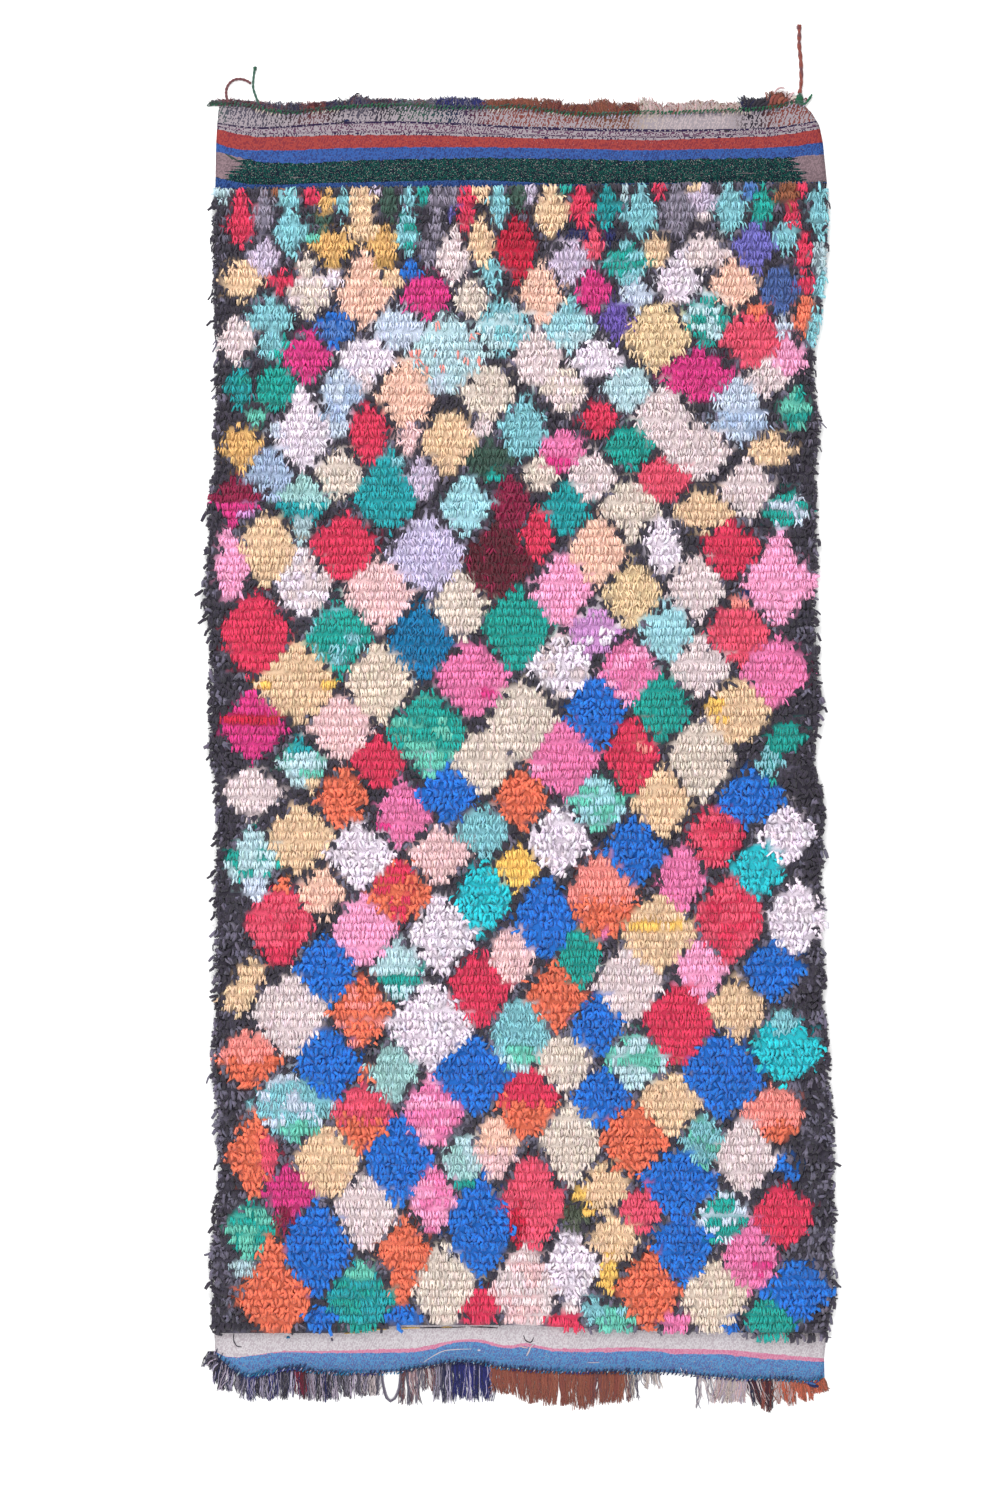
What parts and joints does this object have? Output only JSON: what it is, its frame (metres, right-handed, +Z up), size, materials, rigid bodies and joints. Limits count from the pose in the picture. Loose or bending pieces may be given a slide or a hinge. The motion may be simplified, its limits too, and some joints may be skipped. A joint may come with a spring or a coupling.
{
  "type": "boucherouite rug",
  "caption": "Handmade rag rug lying flat: shaggy pile in a lattice of coloured lozenges, striped flat-woven ends, twined edges, warp fringe and corner ties.",
  "frame": {"origin": "middle of the weave's flat underside, on the floor", "axes": "+Z up out of the pile, +Y along the rug towards the end with the ties, +X to the right seen from above"},
  "size_m": [1.3509, 2.9243, 0.0244],
  "materials": {
    "ground_weave": "flat-woven wool and cotton rag in stripes",
    "pile": "knotted pile of cut cloth strips in many colours on charcoal",
    "head_yarn": "twined green yarn with short frayed ends",
    "foot_yarn": "twined navy yarn with loose warp ends",
    "loop_yarn": "plied yarn",
    "green_yarn": "plied yarn",
    "tie_yarn": "two-ply twisted yarn"
  },
  "bodies": {
    "root": {"ground_weave": "ground_weave", "pile": "pile", "head_band": "head_yarn", "foot_band": "foot_yarn", "loop_cord": "loop_yarn", "green_cord": "green_yarn", "twisted_tie": "tie_yarn", "tie_knot": "green_yarn"}
  },
  "joints": []
}
